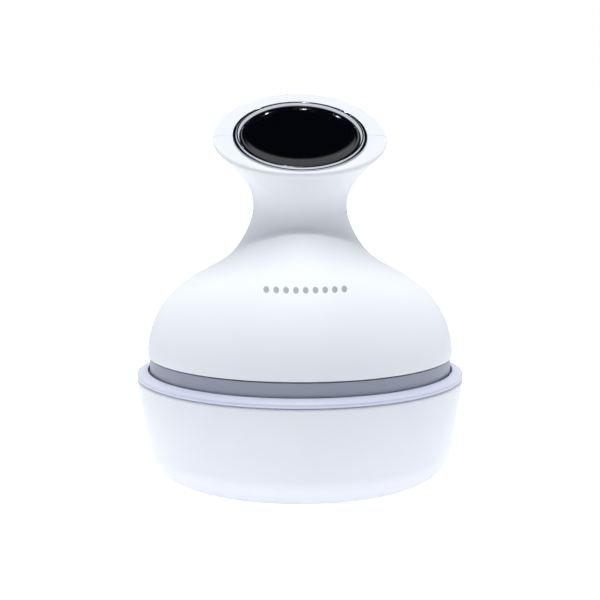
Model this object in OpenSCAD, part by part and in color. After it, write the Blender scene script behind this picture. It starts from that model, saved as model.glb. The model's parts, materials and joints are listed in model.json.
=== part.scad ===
// Palm-held kneading scalp massager standing in its charging dock.
// Millimetres. +Z is up, the front is -Y, and the origin is under the dock's centre, on the table.

/* [Handset casing] */
// Largest radius of the dome, just above the grey band
dome_r = 55.2; // [54.5:0.1:55.6]
// Radius of the round tilted head
head_r = 31.4; // [30.8:0.1:32]
// How far the head leans towards the front, in degrees
head_tilt = 28; // [26:1:30]
// Height of the centre of the head
head_z = 123.1; // [121:0.5:126]
// Casing wall thickness
wall = 2.2; // [1.8:0.1:2.4]

/* [Head ring and button] */
// Outer radius of the bright ring
ring_r = 24; // [23.6:0.1:24.2]
// Radius of the domed push button
lens_r = 21.1; // [20.6:0.1:21.2]
// How far the button travels
button_travel = 0.7; // [0.4:0.1:0.8]

/* [Kneading drive] */
// Tooth size shared by all gears
gear_module = 1.25; // [1.25]
// Teeth on each head gear
head_teeth = 29; // [29]
// Teeth on the drive pinion
pinion_teeth = 12; // [12]
// Radius of each spindle
spindle_r = 2.5; // [2.2:0.1:2.6]
// Fingers on each kneading head
fingers = 5; // [4:1:6]
// Height of the finger tips above the table
tip_z = 15.8; // [15:0.1:17]

/* [Dock] */
// Radius of the dock at its rim
dock_r = 59; // [58.5:0.1:60]
// Height of the dock's inner rim edge
rim_z = 40.3; // [40:0.1:40.6]
// Radius of the rounded bottom corner
dock_corner_r = 12.7; // [11:0.1:13]
// Height of the cup floor
cup_floor_z = 12; // [11.5:0.1:12.5]
// Inner radius of the cup
cup_r = 50.2; // [49.5:0.1:50.4]

/* [Hidden] */
$fn = 96;
SEGMENTS = 24;          // segments round each half shell
STEPS = 2;              // rings between neighbouring stations
SEAM = 0.15;            // half of the seam between the shells, in degrees
FOOT_H = 1;             // the dock's underside stands this far above the table
LEDGE_Z = 37.9;         // ledge in the dock that the handset stands on
FLOOR_Z = 38;           // underside of the handset
BAND_R = 54.4;          // radius of the grey band
BAND_TOP = 45;          // top of the grey band
SHELL_Z = 45.6;         // lower edge of the white shells
GEAR_Z = 41.6;          // underside of the gears
GEAR_H = 4.8;           // thickness of a head gear
PINION_Z = 47;          // underside of the drive pinion
PLATE_Z = 50.4;         // underside of the chassis plate
PLATE_H = 2;            // thickness of the chassis plate
POST_R = 45.5;          // distance of the chassis posts from the axis
CONTACT_X = 2.9;        // distance of each charge contact from the axis
BOSS_R = 33;            // distance of the dock screws from the axis
PILLAR_TOP = 36.4;      // top of the pillar inside the cup
LIP_R = 26;             // reach of the head's edge at the front, in the plane of its face
RING_BODY_R = 22.9;     // radius of the bright ring inside its flange
POCKET_R = RING_BODY_R + 0.1;

gear_pitch_r = gear_module * head_teeth / 2;
tooth_deg = 360 / head_teeth;
head_d = gear_pitch_r;  // the four spindles stand at (+-head_d, +-head_d)

// ---------------------------------------------------------------- casing

// A station of the casing is [side radius, front depth, rear depth, side height,
// front height, rear height, wall]. head_station gives one that is flat in the tilted head's plane.
function head_station(rx, rf, rb, h, w) =
    let (z = head_z + h * cos(head_tilt))
    [rx, rf * cos(head_tilt) + h * sin(head_tilt), rb * cos(head_tilt) - h * sin(head_tilt),
        z, z - rf * sin(head_tilt), z + rb * sin(head_tilt), w];

// A level round station of the dome
function round_station(r, z) = [r, r, r, z, z, z, wall];

outer_stations = [
    // dome
    round_station(dome_r, SHELL_Z),
    round_station(dome_r, 48.5),
    round_station(54.4, 53.5),
    round_station(52.3, 59.4),
    round_station(49, 64.8),
    [44.4, 44.4, 44.4, 69.8, 70.2, 70, wall],
    [38.4, 38.6, 38.4, 73.8, 75, 74.4, wall],
    [32.6, 32.4, 32.6, 77, 79.4, 78, wall],
    // shoulder, with the crease at the front
    [28, 26.6, 27.6, 79.6, 83.6, 81.2, wall],
    [24.8, 21.6, 23.8, 82, 87.6, 84.2, wall],
    [23, 19, 21.6, 84, 89.6, 86.6, wall],
    [21.4, 17.8, 20, 86.2, 91, 89.2, wall],
    // neck
    [19.4, 17, 18.4, 89.4, 93.4, 93, wall],
    [17.6, 16.9, 17.2, 93.6, 96.2, 98, wall],
    [16.6, 17.3, 17, 98.4, 98.6, 104.5, wall],
    [17.2, 18.4, 18.2, 103.6, 101.8, 112, wall],
    // underside of the head
    [19.2, 19.7, 20.4, 108.6, 104.8, 119.5, wall],
    [22.6, 20.9, 23.2, 113.4, 107.2, 126.5, wall],
    [26.8, 22, 26, 118, 109.4, 132.4, wall],
    // edge of the head and its tilted face, which is shorter towards the front
    head_station(head_r - 1.2, LIP_R - 0.1, head_r - 1, -1.6, wall),
    head_station(head_r, LIP_R, head_r, -0.4, wall),
    head_station(head_r - 0.5, LIP_R - 0.5, head_r - 0.5, 0.7, wall),
    head_station(head_r - 2.3, LIP_R - 1.4, head_r - 2.3, 1, wall),
    head_station(POCKET_R, POCKET_R, POCKET_R, 1, wall)
];
INNER_HEAD = 4;         // the last stations of the inner skin are made flat, below the face
inner_stations = [
    for (i = [0:len(outer_stations) - INNER_HEAD - 1])
        let (s = outer_stations[i])
        [s[0] - s[6], s[1] - s[6], s[2] - s[6], s[3], s[4], s[5], 0],
    head_station(27.8, LIP_R - 1.9, 27.8, -1.6, 0),
    head_station(26.8, LIP_R - 2, 26.8, -1.1, 0),
    head_station(25.6, LIP_R - 2.2, 25.6, -1, 0),
    head_station(POCKET_R, POCKET_R, POCKET_R, -1, 0)
];

function station(list, i) =
    i < 0 ? 2 * list[0] - list[1] :
    i >= len(list) ? 2 * list[len(list) - 1] - list[len(list) - 2] : list[i];

// Uniform cubic B-spline through the stations
function blend(list, i, t) =
    (pow(1 - t, 3) * station(list, i - 1)
    + (3 * pow(t, 3) - 6 * t * t + 4) * station(list, i)
    + (-3 * pow(t, 3) + 3 * t * t + 3 * t + 1) * station(list, i + 1)
    + pow(t, 3) * station(list, i + 2)) / 6;

function skin(list) = [
    for (i = [0:len(list) - 2], k = [0:STEPS - 1]) blend(list, i, k / STEPS),
    list[len(list) - 1]
];

// Point of a station at angle a, measured from +X towards the rear
function skin_point(s, a) =
    let (f = -sin(a))
    [s[0] * cos(a), -f * (f > 0 ? s[1] : s[2]),
        s[3] + (s[4] - s[5]) / 2 * f + ((s[4] + s[5]) / 2 - s[3]) * f * f];

module half_shell(from) {
    outer = skin(outer_stations);
    inner = skin(inner_stations);
    rows = len(outer);
    cols = 2 * (SEGMENTS + 1);
    angles = [for (j = [0:SEGMENTS]) from + SEAM + (180 - 2 * SEAM) * j / SEGMENTS];
    points = [for (k = [0:rows - 1]) each concat(
        [for (a = angles) skin_point(outer[k], a)],
        [for (j = [SEGMENTS:-1:0]) skin_point(inner[k], angles[j])])];
    sides = [for (k = [0:rows - 2], j = [0:cols - 1])
        let (a = k * cols + j, b = k * cols + (j + 1) % cols)
        each [[a, a + cols, b], [b, a + cols, b + cols]]];
    bottom = [for (j = [0:SEGMENTS - 1])
        let (a = j, b = cols - 1 - j)
        each [[a, a + 1, b], [a + 1, b - 1, b]]];
    last = (rows - 1) * cols;
    top = [for (j = [0:SEGMENTS - 1])
        let (a = last + j, b = last + cols - 1 - j)
        each [[a, b, a + 1], [a + 1, b, b - 1]]];
    polyhedron(points = points, faces = concat(sides, bottom, top));
}

module front_shell() {
    color("white") half_shell(180);
}

module rear_shell() {
    color("white") half_shell(0);
}

// ---------------------------------------------------------------- head, in the plane of its face

module on_head() {
    translate([0, 0, head_z]) rotate([head_tilt, 0, 0]) children();
}

module disc(r, z0, z1) {
    translate([0, 0, z0]) cylinder(r = r, h = z1 - z0);
}

module tube(r_out, r_in, z0, z1) {
    difference() {
        disc(r_out, z0, z1);
        disc(r_in, z0 - 1, z1 + 1);
    }
}

// Points of an arc about [x, y], from angle a to angle b
function arc(x, y, r, a, b, n = 8) = [
    for (i = [0:n])
        let (t = a + (b - a) * i / n)
        [x + r * cos(t), y + r * sin(t)]
];

RING_TOP = 2.2;         // height of the ring above the head's widest plane
RING_BOTTOM = -3.2;
FLANGE_Z = 1.02;        // underside of the ring's flange, just clear of the casing
BUTTON_Z = -1.6;        // underside of the button carrier's disc
FRAME_Z = -5;           // underside of the button frame's ring
BOARD_Z = -8.6;         // underside of the button board
BOARD_H = 1.2;
BOARD_POST_R = 12.5;
TACT_TOP = -5.7;        // top of the switch's own button

module chrome_ring() {
    ring_in = lens_r + 0.25;
    color("silver") on_head() rotate_extrude() polygon(concat(
        [[ring_in, RING_BOTTOM], [RING_BODY_R, RING_BOTTOM], [RING_BODY_R, FLANGE_Z],
            [ring_r, FLANGE_Z], [ring_r, FLANGE_Z + 0.23], [RING_BODY_R, FLANGE_Z + 0.33]],
        arc(RING_BODY_R - 0.8, RING_TOP - 0.8, 0.8, 0, 90),
        arc(ring_in + 0.5, RING_TOP - 0.5, 0.5, 90, 180)));
}

module button_lens() {
    edge_z = 1.6;
    crown = 1.5;        // rise of the dome above its edge
    dome = (lens_r * lens_r + crown * crown) / (2 * crown);
    half = asin(lens_r / dome);
    color([0.03, 0.04, 0.06]) on_head() rotate_extrude() polygon(concat(
        [[0, 0.2], [lens_r, 0.2]],
        arc(0, edge_z + crown - dome, dome, 90 - half, 90, 16)));
}

module button_carrier() {
    color("dimgray") on_head() union() {
        disc(lens_r - 0.5, BUTTON_Z, 0.2);
        disc(3, TACT_TOP + button_travel + 0.1, BUTTON_Z);
    }
}

module button_seal() {
    color([0.2, 0.2, 0.22]) on_head() tube(lens_r + 0.1, 17, -3.2, -2.5);
}

module button_frame() {
    color("gray") on_head() difference() {
        union() {
            disc(22.4, FRAME_Z, -3.2);
            for (a = [45:90:315])
                rotate(a) translate([BOARD_POST_R, 0, 0]) disc(2.2, BOARD_Z + BOARD_H, FRAME_Z);
        }
        disc(11.5, FRAME_Z - 1, 0);
        for (a = [45:90:315])
            rotate(a) translate([BOARD_POST_R, 0, 0]) disc(0.8, BOARD_Z, -4);
    }
}

module button_board() {
    color("darkgreen") on_head() difference() {
        disc(15.5, BOARD_Z, BOARD_Z + BOARD_H);
        for (a = [45:90:315])
            rotate(a) translate([BOARD_POST_R, 0, 0]) disc(1.1, BOARD_Z - 1, 0);
    }
}

module tact_switch() {
    color("black") on_head() union() {
        translate([-3, -3, BOARD_Z + BOARD_H]) cube([6, 6, 1.2]);
        disc(1.7, BOARD_Z + BOARD_H + 1.2, TACT_TOP);
    }
}

SCREW_HEAD_H = 1.2;

module screw(r, length, head) {
    union() {
        disc(r, 0, length);
        difference() {
            disc(head, -SCREW_HEAD_H, 0);
            translate([-head, -0.25, -SCREW_HEAD_H - 0.1]) cube([2 * head, 0.5, 0.6]);
        }
    }
}

module board_screws() {
    color("silver") on_head() for (a = [45:90:315])
        rotate(a) translate([BOARD_POST_R, 0, BOARD_Z]) screw(0.75, 4.2, 1.8);
}

// ---------------------------------------------------------------- lower housing and chassis

module on_spindles() {
    for (x = [-1, 1], y = [-1, 1]) translate([x * head_d, y * head_d, 0]) children();
}

module on_posts() {
    for (a = [0:90:270]) rotate(a) translate([POST_R, 0, 0]) children();
}

module lower_housing() {
    color("slategray") difference() {
        union() {
            rotate_extrude() polygon([
                [0, FLOOR_Z], [BAND_R - 1, FLOOR_Z], [BAND_R, FLOOR_Z + 1], [BAND_R, BAND_TOP],
                [BAND_R - wall, BAND_TOP], [BAND_R - wall, FLOOR_Z + wall], [0, FLOOR_Z + wall]]);
            on_posts() disc(3.4, FLOOR_Z + 1, PLATE_Z);
        }
        on_spindles() disc(4.5, FLOOR_Z - 1, FLOOR_Z + 5);
        for (x = [-CONTACT_X, CONTACT_X])
            translate([x, 0, 0]) disc(2.2, FLOOR_Z - 1, FLOOR_Z + 5);
        on_posts() disc(1.2, FLOOR_Z + 4, PLATE_Z + 1);
    }
}

module housing_seal() {
    color([0.15, 0.15, 0.17]) tube(BAND_R + 0.1, BAND_R - 2, BAND_TOP, SHELL_Z - 0.02);
}

MOTOR_SCREW_XS = [-8.5, 8.5];

module chassis_plate() {
    color("lightgray") difference() {
        disc(49.6, PLATE_Z, PLATE_Z + PLATE_H);
        disc(3, PLATE_Z - 1, PLATE_Z + PLATE_H + 1);
        on_spindles() disc(spindle_r + 0.05, PLATE_Z - 1, PLATE_Z + PLATE_H + 1);
        on_posts() disc(1.7, PLATE_Z - 1, PLATE_Z + PLATE_H + 1);
        for (x = MOTOR_SCREW_XS) translate([x, 0, 0]) {
            disc(1.6, PLATE_Z - 1, PLATE_Z + PLATE_H + 1);
            disc(2.6, PLATE_Z - 1, PLATE_Z + SCREW_HEAD_H);
        }
    }
}

module chassis_screws() {
    color("silver") on_posts() translate([0, 0, PLATE_Z + PLATE_H])
        mirror([0, 0, 1]) screw(1.15, 9, 2.8);
}

module motor_gearbox() {
    color("gray") difference() {
        disc(12.5, PLATE_Z + PLATE_H, PLATE_Z + PLATE_H + 13);
        disc(2.1, PLATE_Z, PLATE_Z + 9);
        for (x = MOTOR_SCREW_XS) translate([x, 0, 0]) disc(1.3, PLATE_Z, PLATE_Z + 8);
    }
}

module motor() {
    z = PLATE_Z + PLATE_H + 13;
    color("silver") union() {
        disc(12.2, z, z + 24);
        disc(3.5, z + 24, z + 26);
    }
}

module motor_screws() {
    color("silver") for (x = MOTOR_SCREW_XS)
        translate([x, 0, PLATE_Z + SCREW_HEAD_H]) screw(1.25, 5.5, 2.4);
}

module battery_cell() {
    color("steelblue") translate([-25, 24, PLATE_Z + 11.6]) rotate([0, 90, 0]) union() {
        cylinder(r = 9.1, h = 49);
        translate([0, 0, 49]) cylinder(r = 3, h = 1);
    }
}

module battery_cradle() {
    color("gray") difference() {
        translate([-20, 14.4, PLATE_Z + PLATE_H]) cube([40, 19.2, 6]);
        translate([-25, 24, PLATE_Z + 11.6]) rotate([0, 90, 0]) cylinder(r = 9.15, h = 50);
        for (x = [-head_d, head_d])
            translate([x, head_d, 0]) disc(spindle_r + 0.6, PLATE_Z, PLATE_Z + PLATE_H + 1);
    }
}

module main_board() {
    z = PLATE_Z + PLATE_H + 4;
    color("darkgreen") union() {
        difference() {
            translate([-22, -36, z]) cube([44, 20, 1.6]);
            for (x = [-19, 19], y = [-33, -19]) translate([x, y, 0]) disc(1.3, z - 1, z + 3);
        }
        translate([-6, -30, z + 1.6]) cube([9, 9, 1.2]);
        translate([8, -29, z + 1.6]) cube([6, 5, 1]);
        for (x = [-19, 19]) translate([x, -26, 0]) tube(2.6, 1.3, z - 4, z);
        translate([-16, -32, z + 1.6]) cube([7, 5, 5]);
    }
}

module charge_contacts() {
    color("gold") for (x = [-CONTACT_X, CONTACT_X])
        translate([x, 0, 0]) disc(2.2, FLOOR_Z, FLOOR_Z + wall + 0.6);
}

module spindle_bushes() {
    color("goldenrod") on_spindles() tube(4.5, spindle_r + 0.05, FLOOR_Z - 0.4, GEAR_Z - 0.4);
}

module spindle_seals() {
    color([0.15, 0.15, 0.17]) on_spindles() tube(5.6, spindle_r + 0.05, FLOOR_Z - 1.4, FLOOR_Z - 0.4);
}

// ---------------------------------------------------------------- gears

ADDENDUM = 0.8 * gear_module;
DEDENDUM = 1.15 * gear_module;
BACKLASH = 0.14;        // each tooth is this much thinner than its space, in millimetres
FLANK = 5;              // points on each involute flank

// Angle between a flank's start and its point at radius r, in degrees
function involute_deg(base, r) = let (k = sqrt(max(0, r * r / base / base - 1))) k * 180 / PI - atan(k);

module gear_outline(teeth) {
    pitch = gear_module * teeth / 2;
    base = pitch * cos(20);
    root = pitch - DEDENDUM;
    tip = pitch + ADDENDUM;
    half = 90 / teeth - BACKLASH / 4 / pitch * 180 / PI;
    flank = [for (i = [0:FLANK])
        let (r = max(base, root) + (tip - max(base, root)) * i / FLANK)
        [r, half + involute_deg(base, pitch) - involute_deg(base, r)]];
    tooth = concat([[root, flank[0][1]]], flank);
    polygon([for (n = [0:teeth - 1]) each concat(
        [for (i = [0:len(tooth) - 1])
            tooth[i][0] * [cos(n * 360 / teeth - tooth[i][1]), sin(n * 360 / teeth - tooth[i][1])]],
        [for (i = [len(tooth) - 1:-1:0])
            tooth[i][0] * [cos(n * 360 / teeth + tooth[i][1]), sin(n * 360 / teeth + tooth[i][1])]])]);
}

// tall makes the one gear that also reaches the pinion above the others
module head_gear(x, y, tall) {
    h = tall ? PLATE_Z - 0.6 - GEAR_Z : GEAR_H;
    phase = y > 0 ? tooth_deg / 2 : 0;
    color("white") translate([x * head_d, y * head_d, GEAR_Z]) difference() {
        rotate(phase) linear_extrude(h) gear_outline(head_teeth);
        disc(spindle_r, -1, h + 1);
        if (!tall) for (a = [0:60:300]) rotate(a) translate([9.5, 0, 0]) disc(3, -1, h + 1);
    }
}

module drive_pinion() {
    toward = 45;        // direction from the driven gear to the axis
    ahead = ceil(toward / tooth_deg) * tooth_deg - toward;
    phase = 180 + toward - ahead * head_teeth / pinion_teeth - 180 / pinion_teeth;
    color("goldenrod") translate([0, 0, PINION_Z]) difference() {
        rotate(phase) linear_extrude(2.8) gear_outline(pinion_teeth);
        disc(2, -1, 4);
    }
}

module drive_shaft() {
    color("silver") disc(2, PINION_Z, PLATE_Z + PLATE_H + 5);
}

// ---------------------------------------------------------------- kneading heads

HUB_TOP = 36;
HUB_BOTTOM = 31.5;
PAD_H = 2.4;            // thickness of the silicone disc that carries the fingers

module spindle(x, y) {
    color("silver") translate([x * head_d, y * head_d, 0])
        disc(spindle_r, HUB_BOTTOM + 1, PLATE_Z + PLATE_H + 0.4);
}

module claw_hub(x, y) {
    color("lightgray") translate([x * head_d, y * head_d, 0]) difference() {
        rotate_extrude() polygon([
            [0, HUB_BOTTOM], [15, HUB_BOTTOM], [15, HUB_BOTTOM + 2], [7, HUB_TOP], [0, HUB_TOP]]);
        disc(spindle_r, HUB_BOTTOM + 1, HUB_TOP + 1);
    }
}

module finger(length) {
    base = 4;
    tip = 2.4;
    rotate_extrude() polygon(concat(
        [[0, 1], [base, 1], [base, 0]],
        arc(0, tip - length, tip, 0, -90)));
}

module claw_pad(x, y) {
    lean = 6;           // fingers lean in towards the spindle, in degrees
    top = HUB_BOTTOM - PAD_H;
    color("lightgray") translate([x * head_d, y * head_d, 0]) union() {
        disc(15.6, top, HUB_BOTTOM);
        for (i = [0:fingers - 1])
            rotate(i * 360 / fingers + 36) translate([11, 0, top]) rotate([0, lean, 0])
                finger((top - tip_z) / cos(lean));
    }
}

// ---------------------------------------------------------------- dock

DOCK_WALL = 2.2;
CORNER_X = 55.5 - dock_corner_r;
CORNER_Z = FOOT_H + dock_corner_r;
SHELL_TOP = 37.15;
COVER_R = 39.8;
COVER_H = 2;
CUP_FLOOR = 1.8;        // thickness of the cup's floor and wall
PILLAR_BORE = 5.4;
USB_Z = 6.9;            // height of the middle of the charging inlet

module usb_outline(w, h) {
    r = h / 2;
    union() {
        square([w - h, h], center = true);
        for (x = [-1, 1]) translate([x * (w - h) / 2, 0]) circle(r);
    }
}

module inlet(w, h, y0, y1) {
    translate([0, y1, USB_Z]) rotate([90, 0, 0]) linear_extrude(y1 - y0) usb_outline(w, h);
}

module dock_shell() {
    color("white") difference() {
        rotate_extrude() polygon(concat(
            [[COVER_R + 0.2, FOOT_H]],
            arc(CORNER_X, CORNER_Z, dock_corner_r, -90, -6, 10),
            [[dock_r, SHELL_TOP], [dock_r - DOCK_WALL, SHELL_TOP]],
            arc(CORNER_X, CORNER_Z, dock_corner_r - DOCK_WALL, -6, -90, 10),
            [[COVER_R + 0.2, FOOT_H + DOCK_WALL]]));
        inlet(10, 4.2, 45, 60);
    }
}

module dock_tray() {
    wall_r = cup_r + CUP_FLOOR;
    corner = 5;
    color([0.85, 0.87, 0.95]) difference() {
        union() {
            rotate_extrude() polygon(concat(
                [[PILLAR_BORE, cup_floor_z - CUP_FLOOR]],
                arc(wall_r - corner, cup_floor_z - CUP_FLOOR + corner, corner, -90, 0),
                [[wall_r, SHELL_TOP - 1.2], [dock_r - 2.5, SHELL_TOP - 1.2],
                    [dock_r - 2.5, SHELL_TOP + 0.1]],
                arc(dock_r - 0.9, SHELL_TOP + 1, 0.9, -90, 25, 6),
                arc(dock_r - 5.46, rim_z - 8.31, 8.3, 51, 77, 6),
                [[55.1, rim_z - 0.3], [54.9, LEDGE_Z], [cup_r, LEDGE_Z]],
                arc(cup_r - 3.2, cup_floor_z + 3.2, 3.2, 0, -90),
                [[7, cup_floor_z], [7, PILLAR_TOP], [0, PILLAR_TOP], [0, PILLAR_TOP - CUP_FLOOR],
                    [PILLAR_BORE, PILLAR_TOP - CUP_FLOOR]]));
            on_bosses() disc(3.2, FOOT_H + COVER_H, cup_floor_z - 1);
        }
        for (x = [-CONTACT_X, CONTACT_X]) translate([x, 0, 0]) disc(1, PILLAR_TOP - 3, PILLAR_TOP + 1);
        on_bosses() disc(1.25, FOOT_H, cup_floor_z - 1.6);
    }
}

module on_bosses() {
    for (a = [45:90:315]) rotate(a) translate([BOSS_R, 0, 0]) children();
}

module dock_base_cover() {
    color("white") difference() {
        disc(COVER_R, FOOT_H, FOOT_H + COVER_H);
        on_bosses() disc(1.5, FOOT_H - 1, FOOT_H + COVER_H + 1);
        on_bosses() disc(2.6, FOOT_H - 1, FOOT_H + SCREW_HEAD_H + 0.1);
    }
}

module dock_screws() {
    color("silver") on_bosses() translate([0, 0, FOOT_H + SCREW_HEAD_H + 0.1]) screw(1.2, 7.2, 2.5);
}

module dock_feet() {
    color([0.2, 0.2, 0.22]) for (a = [0:90:270])
        rotate(a) translate([BOSS_R, 0, 0]) disc(5, 0, FOOT_H);
}

module dock_board() {
    color("darkgreen") union() {
        translate([-12, 10, FOOT_H + 3]) cube([24, 34, 1.2]);
        translate([-4, 18, FOOT_H + 4.2]) cube([6, 6, 1.2]);
        for (x = [-10, 10]) translate([x, 13, 0]) disc(1.5, FOOT_H + 2, FOOT_H + 3);
    }
}

module usb_socket() {
    color("silver") difference() {
        inlet(8.9, 3.2, 41.5, 50.6);
        inlet(8.3, 2.6, 44.3, 51);
    }
    color("black") translate([-3.3, 43, USB_Z - 0.35]) cube([6.6, 6, 0.7]);
}

PIN_TOP = FLOOR_Z - 0.05;
PIN_COLLAR = PILLAR_TOP - CUP_FLOOR - 0.05;   // top of the collar that keeps the pin in
SPRING_Z = 24;                          // underside of the springs

module pin_holder() {
    color("dimgray") difference() {
        union() {
            disc(PILLAR_BORE - 0.1, cup_floor_z - CUP_FLOOR - 1, PILLAR_TOP - CUP_FLOOR);
            disc(8, cup_floor_z - CUP_FLOOR - 1.6, cup_floor_z - CUP_FLOOR);
        }
        for (x = [-CONTACT_X, CONTACT_X]) translate([x, 0, 0]) disc(1.5, SPRING_Z, PILLAR_TOP);
    }
}

module contact_pin(x) {
    color("gold") translate([x, 0, 0]) union() {
        disc(0.9, PIN_COLLAR - 3, PIN_TOP);
        disc(1.4, PIN_COLLAR - 1.2, PIN_COLLAR);
    }
}

// Round wire wound on radius r, from z0 to z1
module coil(r, wire, turns, z0, z1) {
    sides = 6;
    per_turn = 10;
    rings = turns * per_turn;
    points = [for (i = [0:rings], j = [0:sides - 1])
        let (a = 360 * i / per_turn, b = 360 * j / sides, d = r + wire * cos(b))
        [d * cos(a), d * sin(a), z0 + (z1 - z0) * i / rings + wire * sin(b)]];
    faces = concat(
        [for (i = [0:rings - 1], j = [0:sides - 1])
            let (a = i * sides + j, b = i * sides + (j + 1) % sides)
            each [[a, b, a + sides], [b, b + sides, a + sides]]],
        [[for (j = [sides - 1:-1:0]) j], [for (j = [0:sides - 1]) rings * sides + j]]);
    polyhedron(points = points, faces = faces);
}

module pin_spring(x) {
    color("silver") translate([x, 0, 0]) coil(1.15, 0.15, 6, SPRING_Z + 0.2, PIN_COLLAR - 1.2 - 0.2);
}

// ---------------------------------------------------------------- what is drawn

front_shell();
rear_shell();
chrome_ring();
button_lens();
button_carrier();
button_seal();
button_frame();
button_board();
tact_switch();
board_screws();
housing_seal();
lower_housing();
chassis_plate();
chassis_screws();
motor_gearbox();
motor();
motor_screws();
drive_shaft();
drive_pinion();
battery_cell();
battery_cradle();
main_board();
charge_contacts();
spindle_bushes();
spindle_seals();
head_gear(-1, -1, true);  // head_gear_fl
head_gear(1, -1, false);  // head_gear_fr
head_gear(1, 1, false);  // head_gear_rr
head_gear(-1, 1, false);  // head_gear_rl
spindle(-1, -1);  // spindle_fl
spindle(1, -1);  // spindle_fr
spindle(1, 1);  // spindle_rr
spindle(-1, 1);  // spindle_rl
claw_hub(-1, -1);  // claw_hub_fl
claw_hub(1, -1);  // claw_hub_fr
claw_hub(1, 1);  // claw_hub_rr
claw_hub(-1, 1);  // claw_hub_rl
claw_pad(-1, -1);  // claw_pad_fl
claw_pad(1, -1);  // claw_pad_fr
claw_pad(1, 1);  // claw_pad_rr
claw_pad(-1, 1);  // claw_pad_rl
dock_shell();
dock_tray();
dock_base_cover();
dock_feet();
dock_screws();
dock_board();
usb_socket();
pin_holder();
contact_pin(-CONTACT_X);  // contact_pin_left
contact_pin(CONTACT_X);  // contact_pin_right
pin_spring(-CONTACT_X);  // pin_spring_left
pin_spring(CONTACT_X);  // pin_spring_right
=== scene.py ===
"""Looks of a palm-held kneading scalp massager that stands, claws down, in its charging dock.

Every length is in metres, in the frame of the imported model: +Z is up and the front is -Y.
"""

import contextlib
import json
import logging
import math
from dataclasses import dataclass, field
from enum import Enum
from typing import Callable, Iterator, Sequence

import bpy
from mathutils import Matrix, Vector

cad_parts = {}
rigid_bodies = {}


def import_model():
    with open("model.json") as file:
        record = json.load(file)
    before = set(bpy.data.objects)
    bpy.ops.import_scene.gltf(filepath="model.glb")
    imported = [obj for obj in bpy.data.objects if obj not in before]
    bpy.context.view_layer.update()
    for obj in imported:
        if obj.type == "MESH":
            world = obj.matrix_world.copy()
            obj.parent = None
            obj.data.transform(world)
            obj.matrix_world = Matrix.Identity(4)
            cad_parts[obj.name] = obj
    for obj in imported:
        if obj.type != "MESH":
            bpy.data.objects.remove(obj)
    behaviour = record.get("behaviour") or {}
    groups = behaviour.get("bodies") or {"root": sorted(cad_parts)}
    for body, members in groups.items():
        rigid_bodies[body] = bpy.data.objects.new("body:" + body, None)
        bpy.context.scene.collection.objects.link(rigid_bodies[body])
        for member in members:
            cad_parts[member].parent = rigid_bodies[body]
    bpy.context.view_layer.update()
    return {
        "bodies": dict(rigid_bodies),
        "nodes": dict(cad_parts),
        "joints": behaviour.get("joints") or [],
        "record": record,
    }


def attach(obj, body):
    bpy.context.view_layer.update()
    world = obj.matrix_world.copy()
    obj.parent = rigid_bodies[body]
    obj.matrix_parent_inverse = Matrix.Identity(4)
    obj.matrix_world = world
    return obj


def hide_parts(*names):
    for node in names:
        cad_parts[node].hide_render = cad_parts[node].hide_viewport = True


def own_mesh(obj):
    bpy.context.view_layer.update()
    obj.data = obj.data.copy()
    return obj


LOG = logging.getLogger("massager")
MM = 0.001

Point = tuple[float, float]
Colour = tuple[float, float, float]
Piece = bpy.types.Object


# ---------------------------------------------------------------- finishes


def add_node(nodes: bpy.types.Nodes, kind: str, values: dict[str | int, object] | None = None,
             **settings: object) -> bpy.types.Node:
    """Adds a shader node.

    Args:
        nodes: the nodes to add it to.
        kind: its type, without ShaderNode in front.
        values: what its inputs start with, by name or by number.
        settings: its own settings.

    Returns:
        The node.
    """
    node = nodes.new(f"ShaderNode{kind}")
    for key, value in settings.items():
        setattr(node, key, value)
    for socket, value in (values or {}).items():
        node.inputs[socket].default_value = value
    return node


class Pattern(Enum):
    """The kinds of surface detail that the finishes are made with."""

    MOULDED = "moulded_grain"
    BRUSHED = "brushed_grain"
    RUBBER = "rubber_bloom"
    BOARD = "board_tracks"


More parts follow.
